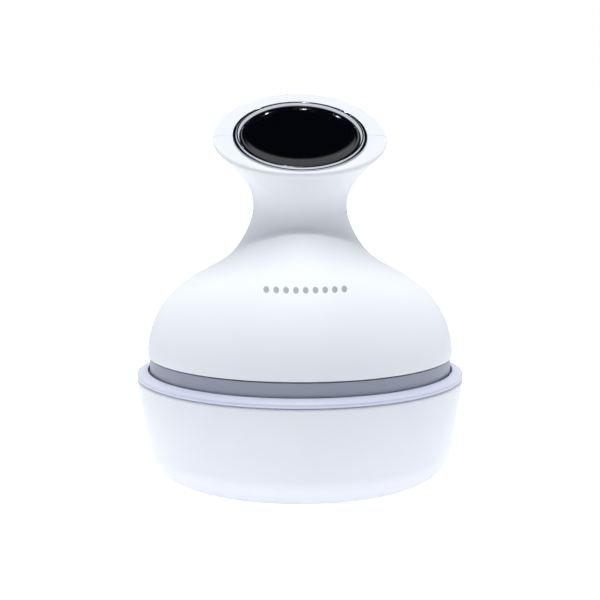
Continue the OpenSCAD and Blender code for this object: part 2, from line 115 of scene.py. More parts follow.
class PatternGroup:
    """One shader node group with the sockets that every pattern shares."""

    def __init__(self, name: str) -> None:
        """Makes the empty group and its sockets.

        Args:
            name: the group's name.
        """
        self.tree = bpy.data.node_groups.new(name, "ShaderNodeTree")
        for socket, kind in (("Colour", "NodeSocketColor"), ("Second Colour", "NodeSocketColor"),
                             ("Roughness", "NodeSocketFloat"), ("Spread", "NodeSocketFloat"),
                             ("Scale", "NodeSocketFloat")):
            self.tree.interface.new_socket(socket, in_out="INPUT", socket_type=kind)
        for socket, kind in (("Colour", "NodeSocketColor"), ("Roughness", "NodeSocketFloat"),
                             ("Height", "NodeSocketFloat")):
            self.tree.interface.new_socket(socket, in_out="OUTPUT", socket_type=kind)
        self.given = self.tree.nodes.new("NodeGroupInput").outputs
        self.result = self.tree.nodes.new("NodeGroupOutput").inputs
        self.place = add_node(self.tree.nodes, "TexCoord").outputs["Object"]

    def link(self, source: bpy.types.NodeSocket, target: bpy.types.NodeSocket) -> None:
        """Joins an output socket to an input socket.

        Args:
            source: the output socket.
            target: the input socket.
        """
        self.tree.links.new(source, target)

    def noise(self, scale: float | bpy.types.NodeSocket, detail: float,
              stretch: tuple[float, float, float] = (1, 1, 1)) -> bpy.types.NodeSocket:
        """Adds noise over the piece.

        Args:
            scale: how fine it is, as a number or a socket.
            detail: how many octaves it has.
            stretch: how much finer it is along each axis.

        Returns:
            The socket with the noise, from 0 to 1.
        """
        mapping = add_node(self.tree.nodes, "Mapping", {"Scale": stretch})
        self.link(self.place, mapping.inputs["Vector"])
        noise = add_node(self.tree.nodes, "TexNoise", {"Detail": detail})
        self.link(mapping.outputs["Vector"], noise.inputs["Vector"])
        if isinstance(scale, bpy.types.NodeSocket):
            self.link(scale, noise.inputs["Scale"])
        else:
            noise.inputs["Scale"].default_value = scale
        return noise.outputs["Fac"]

    def ramp(self, value: bpy.types.NodeSocket, low: float, high: float) -> bpy.types.NodeSocket:
        """Spreads the part of a value between low and high over 0 to 1.

        Args:
            value: the socket to spread.
            low: the value that becomes 0.
            high: the value that becomes 1.

        Returns:
            The socket with the spread value.
        """
        node = add_node(self.tree.nodes, "MapRange", {"From Min": low, "From Max": high})
        self.link(value, node.inputs["Value"])
        return node.outputs["Result"]

    def mix_colours(self, mask: bpy.types.NodeSocket) -> None:
        """Puts out the two colours, mixed by a mask.

        Args:
            mask: 0 for the first colour, 1 for the second.
        """
        node = add_node(self.tree.nodes, "Mix", data_type="RGBA")
        self.link(mask, node.inputs["Factor"])
        self.link(self.given["Colour"], node.inputs["A"])
        self.link(self.given["Second Colour"], node.inputs["B"])
        self.link(node.outputs["Result"], self.result["Colour"])

    def spread_roughness(self, mask: bpy.types.NodeSocket) -> None:
        """Puts out the roughness, raised and lowered by a mask about its middle.

        Args:
            mask: 0.5 leaves the roughness as it is.
        """
        middle = add_node(self.tree.nodes, "Math", {1: 0.5}, operation="SUBTRACT")
        self.link(mask, middle.inputs[0])
        node = add_node(self.tree.nodes, "Math", operation="MULTIPLY_ADD")
        self.link(middle.outputs["Value"], node.inputs[0])
        self.link(self.given["Spread"], node.inputs[1])
        self.link(self.given["Roughness"], node.inputs[2])
        self.link(node.outputs["Value"], self.result["Roughness"])


class PatternLibrary:
    """Builds each pattern's node group once and hands it out."""

    def __init__(self) -> None:
        """Starts with no groups built."""
        self.built: dict[Pattern, bpy.types.NodeTree] = {}
        self.makers: dict[Pattern, Callable[[PatternGroup], None]] = {
            Pattern.MOULDED: self.moulded,
            Pattern.BRUSHED: self.brushed,
            Pattern.RUBBER: self.rubber,
            Pattern.BOARD: self.board,
        }

    def group(self, pattern: Pattern) -> bpy.types.NodeTree:
        """Gives a pattern's group, and builds it the first time.

        Args:
            pattern: which pattern.

        Returns:
            The node group.
        """
        if pattern not in self.built:
            made = PatternGroup(pattern.value)
            self.makers[pattern](made)
            self.built[pattern] = made.tree
        return self.built[pattern]

    @staticmethod
    def moulded(made: PatternGroup) -> None:
        """Fine spark-eroded grain, with faint flow marks and handling haze.

        Args:
            made: the group to fill.
        """
        fine = made.noise(made.given["Scale"], 3)
        flow = made.noise(28, 2, (1, 1, 0.6))
        haze = made.noise(90, 4)
        made.mix_colours(made.ramp(flow, 0.42, 0.75))
        made.spread_roughness(haze)
        made.link(fine, made.result["Height"])

    @staticmethod
    def brushed(made: PatternGroup) -> None:
        """Fine lines round the Z axis, with soft stains.

        Args:
            made: the group to fill.
        """
        lines = made.noise(made.given["Scale"], 4, (0.03, 0.03, 1))
        stain = made.noise(120, 3)
        made.mix_colours(made.ramp(stain, 0.5, 0.8))
        made.spread_roughness(lines)
        made.link(lines, made.result["Height"])

    @staticmethod
    def rubber(made: PatternGroup) -> None:
        """Matt pores with specks of pale dust.

        Args:
            made: the group to fill.
        """
        pores = made.noise(made.given["Scale"], 5)
        dust = made.noise(900, 6)
        bloom = made.noise(60, 3)
        made.mix_colours(made.ramp(dust, 0.6, 0.78))
        made.spread_roughness(bloom)
        made.link(pores, made.result["Height"])

    @staticmethod
    def board(made: PatternGroup) -> None:
        """Copper tracks under green lacquer.

        Args:
            made: the group to fill.
        """
        tracks = add_node(made.tree.nodes, "TexVoronoi", distance="CHEBYCHEV",
                          feature="DISTANCE_TO_EDGE")
        made.link(made.place, tracks.inputs["Vector"])
        made.link(made.given["Scale"], tracks.inputs["Scale"])
        edges = made.ramp(tracks.outputs["Distance"], 0.02, 0.06)
        made.mix_colours(edges)
        made.spread_roughness(made.noise(400, 3))
        made.link(edges, made.result["Height"])


@dataclass(frozen=True)
class Finish:
    """One finish of the object, as the values of its pattern and its shader.

    Attributes:
        slot: the record's material slot that it dresses.
        colour: the main colour.
        second: the colour that the pattern mixes in.
        roughness: the middle roughness.
        pattern: the surface detail.
        spread: how far the roughness wanders.
        grain: how fine the detail is, in waves per metre.
        depth: how deep the detail is.
        metallic: 1 for bare metal.
        coat: weight of the clear coat.
        specular: level of the plain gloss.
    """

    slot: str
    colour: Colour
    second: Colour
    roughness: float
    pattern: Pattern = Pattern.MOULDED
    spread: float = 0.08
    grain: float = 2600
    depth: float = 0.00002
    metallic: float = 0.0
    coat: float = 0.0
    specular: float = 0.5

    def build(self, library: PatternLibrary) -> bpy.types.Material:
        """Makes the finish's material.

        Args:
            library: the patterns to draw on.

        Returns:
            The material.
        """
        material = bpy.data.materials.new(f"finish_{self.slot}")
        material.use_nodes = True
        material.diffuse_color = (*self.colour, 1)
        nodes = material.node_tree.nodes
        link = material.node_tree.links.new
        shader = nodes["Principled BSDF"]
        for socket, value in (("Metallic", self.metallic), ("Coat Weight", self.coat),
                              ("Coat Roughness", 0.12), ("Specular IOR Level", self.specular)):
            shader.inputs[socket].default_value = value
        pattern = add_node(nodes, "Group", {
            "Colour": (*self.colour, 1), "Second Colour": (*self.second, 1),
            "Roughness": self.roughness, "Spread": self.spread, "Scale": self.grain,
        }, node_tree=library.group(self.pattern))
        bump = add_node(nodes, "Bump", {"Strength": 0.35, "Distance": self.depth})
        link(pattern.outputs["Height"], bump.inputs["Height"])
        link(pattern.outputs["Colour"], shader.inputs["Base Color"])
        link(pattern.outputs["Roughness"], shader.inputs["Roughness"])
        link(bump.outputs["Normal"], shader.inputs["Normal"])
        return material


FINISHES: tuple[Finish, ...] = (
    Finish("white_casing", (0.86, 0.885, 0.935), (0.84, 0.87, 0.925), 0.34, coat=0.15),
    Finish("chrome_trim", (0.6, 0.62, 0.67), (0.54, 0.56, 0.61), 0.07, Pattern.BRUSHED, 0.04,
           1500, 0.000002, metallic=1.0),
    Finish("black_lens", (0.0008, 0.0009, 0.0018), (0.001, 0.0012, 0.002), 0.05, spread=0.02,
           grain=1200, depth=0.000001, coat=0.3),
    Finish("grey_plastic", (0.4, 0.41, 0.43), (0.36, 0.37, 0.4), 0.5),
    Finish("dark_rubber", (0.05, 0.05, 0.055), (0.16, 0.16, 0.16), 0.75, Pattern.RUBBER, 0.15),
    Finish("circuit_board", (0.02, 0.16, 0.06), (0.01, 0.09, 0.035), 0.35, Pattern.BOARD, 0.1,
           420, 0.00004, coat=0.3),
    Finish("black_plastic", (0.018, 0.018, 0.02), (0.03, 0.03, 0.032), 0.45),
    Finish("steel", (0.6, 0.6, 0.62), (0.45, 0.44, 0.43), 0.28, Pattern.BRUSHED, 0.2, 1800,
           0.00001, metallic=1.0),
    Finish("grey_band", (0.37, 0.4, 0.485), (0.35, 0.38, 0.465), 0.36, spread=0.1),
    Finish("brass", (0.78, 0.56, 0.26), (0.6, 0.4, 0.2), 0.25, Pattern.BRUSHED, 0.15, 1800,
           0.00001, metallic=1.0),
    Finish("battery_wrap", (0.05, 0.18, 0.42), (0.04, 0.14, 0.34), 0.3, coat=0.4),
    Finish("dock_white", (0.8, 0.83, 0.89), (0.78, 0.81, 0.88), 0.36, coat=0.12),
    Finish("dock_rim", (0.62, 0.65, 0.78), (0.6, 0.63, 0.77), 0.32, coat=0.15),
    Finish("gear_plastic", (0.8, 0.79, 0.73), (0.74, 0.73, 0.68), 0.4),
    Finish("hub_plastic", (0.5, 0.53, 0.58), (0.47, 0.5, 0.55), 0.42),
    Finish("silicone", (0.42, 0.46, 0.53), (0.5, 0.53, 0.58), 0.6, Pattern.RUBBER, 0.1, 1800),
)


class FinishRack:
    """The finishes as materials, by the record's slots."""

    def __init__(self) -> None:
        """Builds every finish once."""
        library = PatternLibrary()
        self.materials = {finish.slot: finish.build(library) for finish in FINISHES}

    def dress(self, piece: Piece, slot: str) -> None:
        """Gives a piece one finish all over.

        Args:
            piece: the piece to dress.
            slot: the finish's slot.
        """
        piece.data.materials.clear()
        piece.data.materials.append(self.materials[slot])

    def dress_node(self, piece: Piece, slot: str) -> None:
        """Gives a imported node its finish, leaving its mesh as it is.

        Args:
            piece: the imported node's object.
            slot: the finish's slot.
        """
        for material_slot in piece.material_slots:
            material_slot.material = self.materials[slot]


# ---------------------------------------------------------------- bench tools


def clear_selection() -> None:
    """Deselects everything, in object mode."""
    if bpy.context.object and bpy.context.object.mode != "OBJECT":
        bpy.ops.object.mode_set(mode="OBJECT")
    bpy.ops.object.select_all(action="DESELECT")


def pick(piece: Piece) -> None:
    """Makes one piece the only one selected, and the active one.

    Args:
        piece: the piece to pick.
    """
    clear_selection()
    piece.select_set(True)
    bpy.context.view_layer.objects.active = piece


@contextlib.contextmanager
def editing(piece: Piece, edges: bool = False) -> Iterator[None]:
    """Holds one piece in edit mode.

    Args:
        piece: the piece to edit.
        edges: whether edges are picked, and not points.

    Yields:
        Nothing, while the piece is in edit mode.
    """
    pick(piece)
    bpy.context.tool_settings.mesh_select_mode = (not edges, edges, False)
    bpy.ops.object.mode_set(mode="EDIT")
    yield
    bpy.ops.object.mode_set(mode="OBJECT")


def named(name: str) -> Piece:
    """Names the active object and its mesh, and gives it.

    Args:
        name: the new name.

    Returns:
        The active object.
    """
    piece = bpy.context.object
    piece.name = name
    piece.data.name = name
    return piece


def apply_modifier(piece: Piece, kind: str, **values: object) -> None:
    """Adds a modifier and applies it.

    Args:
        piece: the piece to change.
        kind: the modifier's type.
        values: its settings.
    """
    pick(piece)
    modifier = piece.modifiers.new(kind.lower(), kind)
    for key, value in values.items():
        setattr(modifier, key, value)
    bpy.ops.object.modifier_apply(modifier=modifier.name)


def smooth(piece: Piece, degrees: float = 35) -> Piece:
    """Shades a piece smooth up to an angle, and gives it back.

    Args:
        piece: the piece to shade.
        degrees: edges sharper than this stay sharp.

    Returns:
        The same piece.
    """
    pick(piece)
    bpy.ops.object.shade_smooth_by_angle(angle=math.radians(degrees))
    return piece


def place(piece: Piece, matrix: Matrix) -> Piece:
    """Moves a piece by a matrix, into its mesh.

    Args:
        piece: the piece, at the origin.
        matrix: where it goes.

    Returns:
        The same piece, with its object still at the origin.
    """
    pick(piece)
    piece.matrix_world = matrix @ piece.matrix_world
    bpy.ops.object.transform_apply(location=True, rotation=True, scale=True)
    return piece


def copy_of(piece: Piece, name: str) -> Piece:
    """Copies a piece with a mesh of its own.

    Args:
        piece: the piece to copy.
        name: the copy's name.

    Returns:
        The copy.
    """
    pick(piece)
    bpy.ops.object.duplicate(linked=False)
    return named(name)


def join(pieces: Sequence[Piece], name: str) -> Piece:
    """Joins pieces into one.

    Args:
        pieces: the pieces to join.
        name: the name of the result.

    Returns:
        The joined piece.
    """
    clear_selection()
    for piece in pieces:
        piece.select_set(True)
    bpy.context.view_layer.objects.active = pieces[0]
    bpy.ops.object.join()
    return named(name)


def cut(piece: Piece, cutter: Piece) -> None:
    """Cuts one piece with another, which is used up.

    Args:
        piece: the piece to cut.
        cutter: the shape to take away.
    """
    apply_modifier(piece, "BOOLEAN", object=cutter, operation="DIFFERENCE", solver="EXACT")
    bpy.data.objects.remove(cutter)


def arc(x: float, z: float, radius: float, start: float, end: float, steps: int = 8) -> list[Point]:
    """Points of an arc in a profile.

    Args:
        x: radius of the arc's centre from the axis.
        z: height of the arc's centre.
        radius: the arc's own radius.
        start: first angle in degrees.
        end: last angle in degrees.
        steps: how many steps it has.

    Returns:
        The points from start to end.
    """
    angles = [math.radians(start + (end - start) * i / steps) for i in range(steps + 1)]
    return [(x + radius * math.cos(a), z + radius * math.sin(a)) for a in angles]


def lathe(name: str, profile: Sequence[Point], steps: int = 160) -> Piece:
    """Turns a profile about the Z axis.

    Args:
        name: the piece's name.
        profile: radius and height of each point, in millimetres. A loop ends where it began.
        steps: how many steps go round.

    Returns:
        The turned piece.
    """
    clear_selection()
    bpy.ops.mesh.primitive_plane_add(size=MM)
    piece = named(name)
    first = profile[0]
    with editing(piece):
        bpy.ops.mesh.select_all(action="SELECT")
        bpy.ops.mesh.merge(type="CENTER")
        bpy.ops.transform.translate(value=(first[0] * MM, 0, first[1] * MM))
        for here, there in zip(profile, profile[1:]):
            step = ((there[0] - here[0]) * MM, 0, (there[1] - here[1]) * MM)
            bpy.ops.mesh.extrude_vertices_move(TRANSFORM_OT_translate={"value": step})
        bpy.ops.mesh.select_all(action="SELECT")
        bpy.ops.mesh.spin(steps=steps, angle=math.tau, center=(0, 0, 0), axis=(0, 0, 1))
        bpy.ops.mesh.select_all(action="SELECT")
        bpy.ops.mesh.remove_doubles(threshold=1e-7)
        bpy.ops.mesh.normals_make_consistent(inside=False)
    return smooth(piece)


def rod(radius: float, low: float, high: float, x: float = 0, y: float = 0) -> Piece:
    """A plain upright rod in millimetres, used as a cutter.

    Args:
        radius: its radius.
        low: its lower end.
        high: its upper end.
        x: its place along X.
        y: its place along Y.

    Returns:
        The rod.
    """
    clear_selection()
    bpy.ops.mesh.primitive_cylinder_add(vertices=48, radius=radius * MM, depth=(high - low) * MM,
                                        location=(x * MM, y * MM, (low + high) / 2 * MM))
    return named("cutter")


# ---------------------------------------------------------------- sub-assemblies


@dataclass
class Assembly:
    """What every sub-assembly needs to dress its pieces and hand them over.

    Attributes:
        rack: the finishes.
    """

    rack: FinishRack

    def hand_over(self, piece: Piece, body: str, slot: str, *nodes: str) -> Piece:
        """Dresses a piece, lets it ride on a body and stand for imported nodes.

        Args:
            piece: the finished piece.
            body: the body that it rides on.
            slot: its finish.
            nodes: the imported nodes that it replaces.

        Returns:
            The piece.
        """
        self.rack.dress(piece, slot)
        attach(piece, body)
        if nodes:
            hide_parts(*nodes)
        LOG.info("%s: %d faces, on %s", piece.name, len(piece.data.polygons), body)
        return piece


@dataclass(frozen=True)
class Station:
    """One ring of the casing, in millimetres: how far it reaches and how high it runs.

    Attributes:
        side: reach to the left and right.
        front: reach to the front.
        rear: reach to the rear.
        side_z: height at the sides.
        front_z: height at the front.
        rear_z: height at the rear.
    """

    side: float
    front: float
    rear: float
    side_z: float
    front_z: float
    rear_z: float

    def point(self, angle: float) -> Vector:
        """Finds a point of the ring.

        Args:
            angle: from +X towards the rear, in radians.

        Returns:
            The point, in metres.
        """
        ahead = -math.sin(angle)
        reach = self.front if ahead > 0 else self.rear
        lean = (self.front_z - self.rear_z) / 2
        arch = (self.front_z + self.rear_z) / 2 - self.side_z
        return Vector((self.side * math.cos(angle), -reach * ahead,
                       self.side_z + lean * ahead + arch * ahead * ahead)) * MM


@dataclass
class HeadPlane:
    """The plane of the tilted head, in millimetres.

    Attributes:
        height: height of the head's centre.
        tilt: how far it leans forward, in degrees.
    """

    height: float = 123.1
    tilt: float = 28.0

    def station(self, side: float, front: float, rear: float, lift: float) -> Station:
        """Makes a ring that is flat in the head's plane.

        Args:
            side: reach to the left and right.
            front: reach to the front, in the plane.
            rear: reach to the rear, in the plane.
            lift: height above the plane.

        Returns:
            The ring.
        """
        cosine = math.cos(math.radians(self.tilt))
        sine = math.sin(math.radians(self.tilt))
        z = self.height + lift * cosine
        return Station(side, front * cosine + lift * sine, rear * cosine - lift * sine,
                       z, z - front * sine, z + rear * sine)

    def matrix(self) -> Matrix:
        """Gives the move from the origin to the head's plane.

        Returns:
            The matrix, in metres.
        """
        return Matrix.Translation((0, 0, self.height * MM)) @ Matrix.Rotation(
            math.radians(self.tilt), 4, "X")


@dataclass
class HandsetCasing(Assembly):
    """The two white shells, drawn as one skin through stations and parted at the seam.

    Attributes:
        head: the plane of the head.
        around: points round each ring.
        wall: wall thickness in millimetres.
        seam: half of the gap between the shells, in millimetres.
        dots: how many dots the printed row has.
        dot_r: radius of a dot.
        dot_pitch: distance between dots.
        dot_z: height of the row.
    """

    head: HeadPlane = field(default_factory=HeadPlane)
    around: int = 96
    wall: float = 1.6
    seam: float = 0.1
    dots: int = 9
    dot_r: float = 0.95
    dot_pitch: float = 3.3
    dot_z: float = 74.0

    def stations(self) -> list[Station]:
        """Lists the rings from the lower edge to the pocket of the bright ring.

        Returns:
            The rings, with the lowest first.
        """
        def level(radius: float, z: float) -> Station:
            """Makes a round, level ring.

            Args:
                radius: its radius.
                z: its height.

            Returns:
                The ring.
            """
            return Station(radius, radius, radius, z, z, z)

        flat = self.head.station
        return [
            level(55.1, 45.6), level(55.2, 48.5), level(54.4, 53.5), level(52.3, 59.4),
            level(49.0, 64.8),
            Station(44.4, 44.4, 44.4, 69.8, 70.2, 70.0),
            Station(38.4, 38.6, 38.4, 73.8, 75.0, 74.4),
            Station(32.6, 32.4, 32.6, 77.0, 79.4, 78.0),
            Station(30.4, 27.4, 27.6, 78.2, 84.2, 81.2),
            Station(27.4, 23.2, 23.8, 80.0, 88.5, 84.2),
            Station(25.2, 20.7, 21.6, 81.7, 90.9, 86.6),
            Station(22.9, 18.2, 20.0, 84.1, 90.9, 89.2),
            Station(19.9, 16.9, 18.4, 88.6, 92.4, 93.0),
            Station(17.6, 16.9, 17.2, 93.6, 96.2, 98.0),
            Station(16.6, 17.3, 17.0, 98.4, 98.6, 104.5),
            Station(17.2, 18.4, 18.2, 103.6, 101.8, 112.0),
            Station(19.2, 19.7, 20.4, 108.6, 104.8, 119.5),
            Station(22.6, 20.9, 23.2, 113.4, 107.2, 126.5),
            Station(26.8, 21.8, 26.0, 118.0, 109.5, 132.4),
            flat(30.2, 25.5, 30.4, -1.6), flat(31.4, 25.6, 31.4, -0.4),
            flat(30.9, 25.3, 30.9, 0.7), flat(29.1, 24.8, 29.1, 1.0),
            flat(23.0, 23.0, 23.0, 1.0),
        ]

    def skin(self) -> Piece:
        """Extrudes a circle ring by ring, sets each ring on its station and smooths it.

        Returns:
            The whole skin, open at its lower edge and at the head's pocket.
        """
        stations = self.stations()
        clear_selection()
        bpy.ops.mesh.primitive_circle_add(vertices=self.around, radius=1, fill_type="NOTHING")
        skin = named("casing_skin")
        with editing(skin):
            bpy.ops.mesh.select_all(action="SELECT")
            for _ in stations[1:]:
                bpy.ops.mesh.extrude_region_move(TRANSFORM_OT_translate={"value": (0, 0, 1)})
        rows = [round(vertex.co.z) for vertex in skin.data.vertices]
        for vertex, row in zip(skin.data.vertices, rows):
            vertex.co = stations[row].point(math.atan2(vertex.co.y, vertex.co.x))
        self.sharpen(skin, rows)
        apply_modifier(skin, "SUBSURF", levels=2, render_levels=2)
        with editing(skin):
            bpy.ops.mesh.select_all(action="SELECT")
            bpy.ops.mesh.normals_make_consistent(inside=False)
        return skin

    @staticmethod
    def sharpen(skin: Piece, rows: Sequence[int], crease_row: int = 10) -> None:
        """Creases the ring where neck and shoulder meet, fading out towards the sides.

        Args:
            skin: the ringed skin.
            rows: the ring that each vertex is on.
            crease_row: the ring to crease.
        """
        for reach, weight in ((1.0, 0.35), (0.8, 0.35), (0.55, 0.3)):
            with editing(skin, edges=True):
                bpy.ops.mesh.select_all(action="DESELECT")
            for edge in skin.data.edges:
                ends = [skin.data.vertices[i] for i in edge.vertices]
                on_row = all(rows[end.index] == crease_row for end in ends)
                angle = math.atan2(abs(ends[0].co.x), -ends[0].co.y)
                edge.select = on_row and angle < math.pi / 2 * reach
            with editing(skin, edges=True):
                bpy.ops.transform.edge_crease(value=weight)

    def half(self, skin: Piece, name: str, side: int) -> Piece:
        """Keeps one half of a copy of the skin and gives it its wall.

        Args:
            skin: the whole skin.
            name: the half's name.
            side: -1 keeps the front, 1 keeps the rear.

        Returns:
            The half shell.
        """
        shell = copy_of(skin, name)
        with editing(shell):
            bpy.ops.mesh.select_all(action="SELECT")
            bpy.ops.mesh.bisect(plane_co=(0, side * self.seam * MM, 0), plane_no=(0, side, 0),
                                clear_inner=True)
        apply_modifier(shell, "SOLIDIFY", thickness=self.wall * MM, offset=-1)
        apply_modifier(shell, "BEVEL", width=0.1 * MM, segments=2, limit_method="ANGLE",
                       angle_limit=math.radians(60))
        return smooth(shell, 40)

    def printed_row(self, skin: Piece) -> Piece:
        """Prints a plain row of dots on the front of the dome.

        Args:
            skin: the surface that the dots lie on.

        Returns:
            The dots as one piece.
        """
        made = []
        for i in range(self.dots):
            x = (i - (self.dots - 1) / 2) * self.dot_pitch
            clear_selection()
            bpy.ops.mesh.primitive_circle_add(
                vertices=32, radius=self.dot_r * MM, fill_type="TRIFAN",
                location=(x * MM, -60 * MM, self.dot_z * MM), rotation=(math.pi / 2, 0, 0))
            made.append(named(f"dot_{i}"))
        row = place(join(made, "printed_dots"), Matrix.Identity(4))
        apply_modifier(row, "SHRINKWRAP", target=skin, wrap_method="PROJECT",
                       use_project_y=True, use_project_x=False, use_project_z=False,
                       use_positive_direction=True, use_negative_direction=False,
                       offset=0.02 * MM)
        apply_modifier(row, "SOLIDIFY", thickness=0.04 * MM, offset=0)
        return smooth(row)

    def build(self) -> None:
        """Makes both shells and the printed row."""
        skin = self.skin()
        for end, side in (("front", -1), ("rear", 1)):
            shell = self.half(skin, f"casing_{end}", side)
            self.hand_over(shell, "handset", "white_casing", f"{end}_shell")
        self.hand_over(self.printed_row(skin), "handset", "grey_plastic")
        bpy.data.objects.remove(skin)


@dataclass
class HeadButton(Assembly):
    """The bright ring and the domed push button, turned flat and then tilted.

    Attributes:
        head: the plane of the head.
        ring_out: outer radius of the ring.
        ring_in: inner radius of the ring.
        lens_r: radius of the button.
        crown: rise of the button's dome.
    """

    head: HeadPlane = field(default_factory=HeadPlane)
    ring_out: float = 24.0
    ring_in: float = 21.35
    lens_r: float = 21.1
    crown: float = 1.4

    def ring(self) -> Piece:
        """Turns the ring: a thin outer flange, a rounded crown and an inner slope.

        Returns:
            The ring, tilted.
        """
        body = self.ring_out - 1.1
        profile = [
            (self.ring_in, -3.2), (body, -3.2), (body, 1.04), (self.ring_out - 0.1, 1.04),
            *arc(self.ring_out - 0.1, 1.14, 0.1, -90, 90, 4),
            (body + 0.05, 1.26), *arc(body - 0.3, 1.4, 0.3, 0, 85, 5),
            (body - 0.34, 1.7), (self.ring_in + 0.85, 1.7), (self.ring_in + 0.8, 1.68),
            (self.ring_in + 0.05, 0.95), (self.ring_in, 0.9),
            (self.ring_in, -3.2),
        ]
        return place(lathe("bright_ring", profile, 192), self.head.matrix())

    def lens(self) -> Piece:
        """Turns the button's dome, which is nearly flat in the middle and rolls off at its rim.

        Returns:
            The button, tilted.
        """
        rim = 1.25
        steps = 30
        dome = [(self.lens_r * i / steps, rim + self.crown * (1 - (i / steps) ** 5))
                for i in range(steps)]
        profile = [
            *dome,
            *arc(self.lens_r - 0.25, rim - 0.1, 0.25, 60, 0, 4),
            (self.lens_r, 0.3), (self.lens_r - 0.1, 0.2), (0, 0.2), dome[0],
        ]
        return place(lathe("push_button", profile, 192), self.head.matrix())

    def build(self) -> None:
        """Makes the ring and the button."""
        self.hand_over(self.ring(), "handset", "chrome_trim", "chrome_ring")
        self.hand_over(self.lens(), "button", "black_lens", "button_lens")


@dataclass
class LowerHousing(Assembly):
    """The grey lower housing with its openings, and the dark line above it.

    Attributes:
        band_r: radius of the band.
        floor_z: height of its underside.
        top_z: height of its top edge.
        wall: wall thickness.
        spindle_d: place of the spindles along X and Y.
        contact_x: place of the charge contacts along X.
        bush_r: radius of the hole for a spindle's bush.
        contact_r: radius of the hole for a contact.
    """

    band_r: float = 54.4
    floor_z: float = 38.0
    top_z: float = 45.0
    wall: float = 2.2
    spindle_d: float = 18.125
    contact_x: float = 2.9
    bush_r: float = 4.5
    contact_r: float = 2.25

    def housing(self) -> Piece:
        """Turns the housing and bores it for the bushes and the contacts.

        Returns:
            The housing.
        """
        inner = self.band_r - self.wall
        profile = [
            (0, self.floor_z),
            *arc(self.band_r - 1, self.floor_z + 1, 1, -90, 0, 6),
            *arc(self.band_r - 0.2, self.top_z - 0.2, 0.2, 0, 90, 3),
            (inner, self.top_z), (inner, self.floor_z + self.wall),
            (0, self.floor_z + self.wall), (0, self.floor_z),
        ]
        housing = lathe("grey_housing", profile, 192)
        for x in (-1, 1):
            for y in (-1, 1):
                cut(housing, rod(self.bush_r, self.floor_z - 1, self.floor_z + 4,
                                 x * self.spindle_d, y * self.spindle_d))
            cut(housing, rod(self.contact_r, self.floor_z - 1, self.floor_z + 4,
                             x * self.contact_x))
        return smooth(housing)

    def seal(self) -> Piece:
        """Turns the dark seal that shows as a line under the dome.

        Returns:
            The seal.
        """
        return lathe("dark_seal", [
            (self.band_r - 2, self.top_z),
            *arc(self.band_r - 0.35, self.top_z + 0.29, 0.27, -90, 90, 6),
            (self.band_r - 2, self.top_z + 0.58), (self.band_r - 2, self.top_z),
        ], 192)

    def build(self) -> None:
        """Makes the housing and the seal."""
        self.hand_over(self.housing(), "handset", "grey_band", "lower_housing")
        self.hand_over(self.seal(), "handset", "dark_rubber", "housing_seal")


@dataclass
class KneadingHeads(Assembly):
    """The four soft claw pads, modelled once and copied.

    Attributes:
        centre: place of the first pad's axis along X and Y.
        top_z: top of the pad's disc.
        disc_h: thickness of the disc.
        disc_r: radius of the disc.
        tip_z: height of the finger tips.
        fingers: how many fingers there are.
        lean: how far the fingers lean in, in degrees.
        stand_r: distance of the fingers from the pad's axis.
        first: direction of the first finger, in degrees.
    """

    centre: float = 18.125
    top_z: float = 31.5
    disc_h: float = 2.4
    disc_r: float = 15.6
    tip_z: float = 15.8
    fingers: int = 5
    lean: float = 6.0
    stand_r: float = 11.0
    first: float = 36.0

    def finger(self) -> Piece:
        """Turns one tapered finger with a round tip and two soft ribs, hanging from the origin.

        Returns:
            The finger.
        """
        length = (self.top_z - self.disc_h - self.tip_z) / math.cos(math.radians(self.lean))
        tip = 2.4
        return lathe("finger", [
            (0, 1.0), (4.0, 1.0), *arc(4.6, 0.0, 0.6, 180, 250, 4),
            (3.5, -length * 0.35), *arc(3.25, -length * 0.42, 0.35, 60, -60, 4),
            (3.0, -length * 0.5), *arc(2.85, -length * 0.6, 0.3, 60, -60, 4),
            *arc(0, tip - length, tip, 0, -90, 10),
        ], 40)

    def pad(self) -> Piece:
        """Turns the disc and sets the fingers round it.

        Returns:
            The pad, on the Z axis.
        """
        low = self.top_z - self.disc_h
        disc = lathe("pad_disc", [
            (0, low), *arc(self.disc_r - 1, low + 1, 1, -90, 0, 5),
            *arc(self.disc_r - 0.5, self.top_z - 0.5, 0.5, 0, 90, 4),
            (2.6, self.top_z), (2.6, low + 1.2), (0, low + 1.2),
        ], 96)
        finger = self.finger()
        parts = [disc]
        for i in range(self.fingers):
            turn = Matrix.Rotation(math.tau * i / self.fingers + math.radians(self.first), 4, "Z")
            stand = Matrix.Translation((self.stand_r * MM, 0, low * MM))
            lean = Matrix.Rotation(math.radians(self.lean), 4, "Y")
            parts.append(place(copy_of(finger, f"finger_{i}"), turn @ stand @ lean))
        bpy.data.objects.remove(finger)
        return smooth(join(parts, "kneading_pad"), 50)

    def build(self) -> None:
        """Makes the four pads."""
        pattern = self.pad()
        for name, x, y in (("fl", -1, -1), ("fr", 1, -1), ("rr", 1, 1), ("rl", -1, 1)):
            pad = copy_of(pattern, f"kneading_pad_{name}")
            place(pad, Matrix.Translation((x * self.centre * MM, y * self.centre * MM, 0)))
            self.hand_over(pad, f"head_{name}", "silicone", f"claw_pad_{name}")
        bpy.data.objects.remove(pattern)


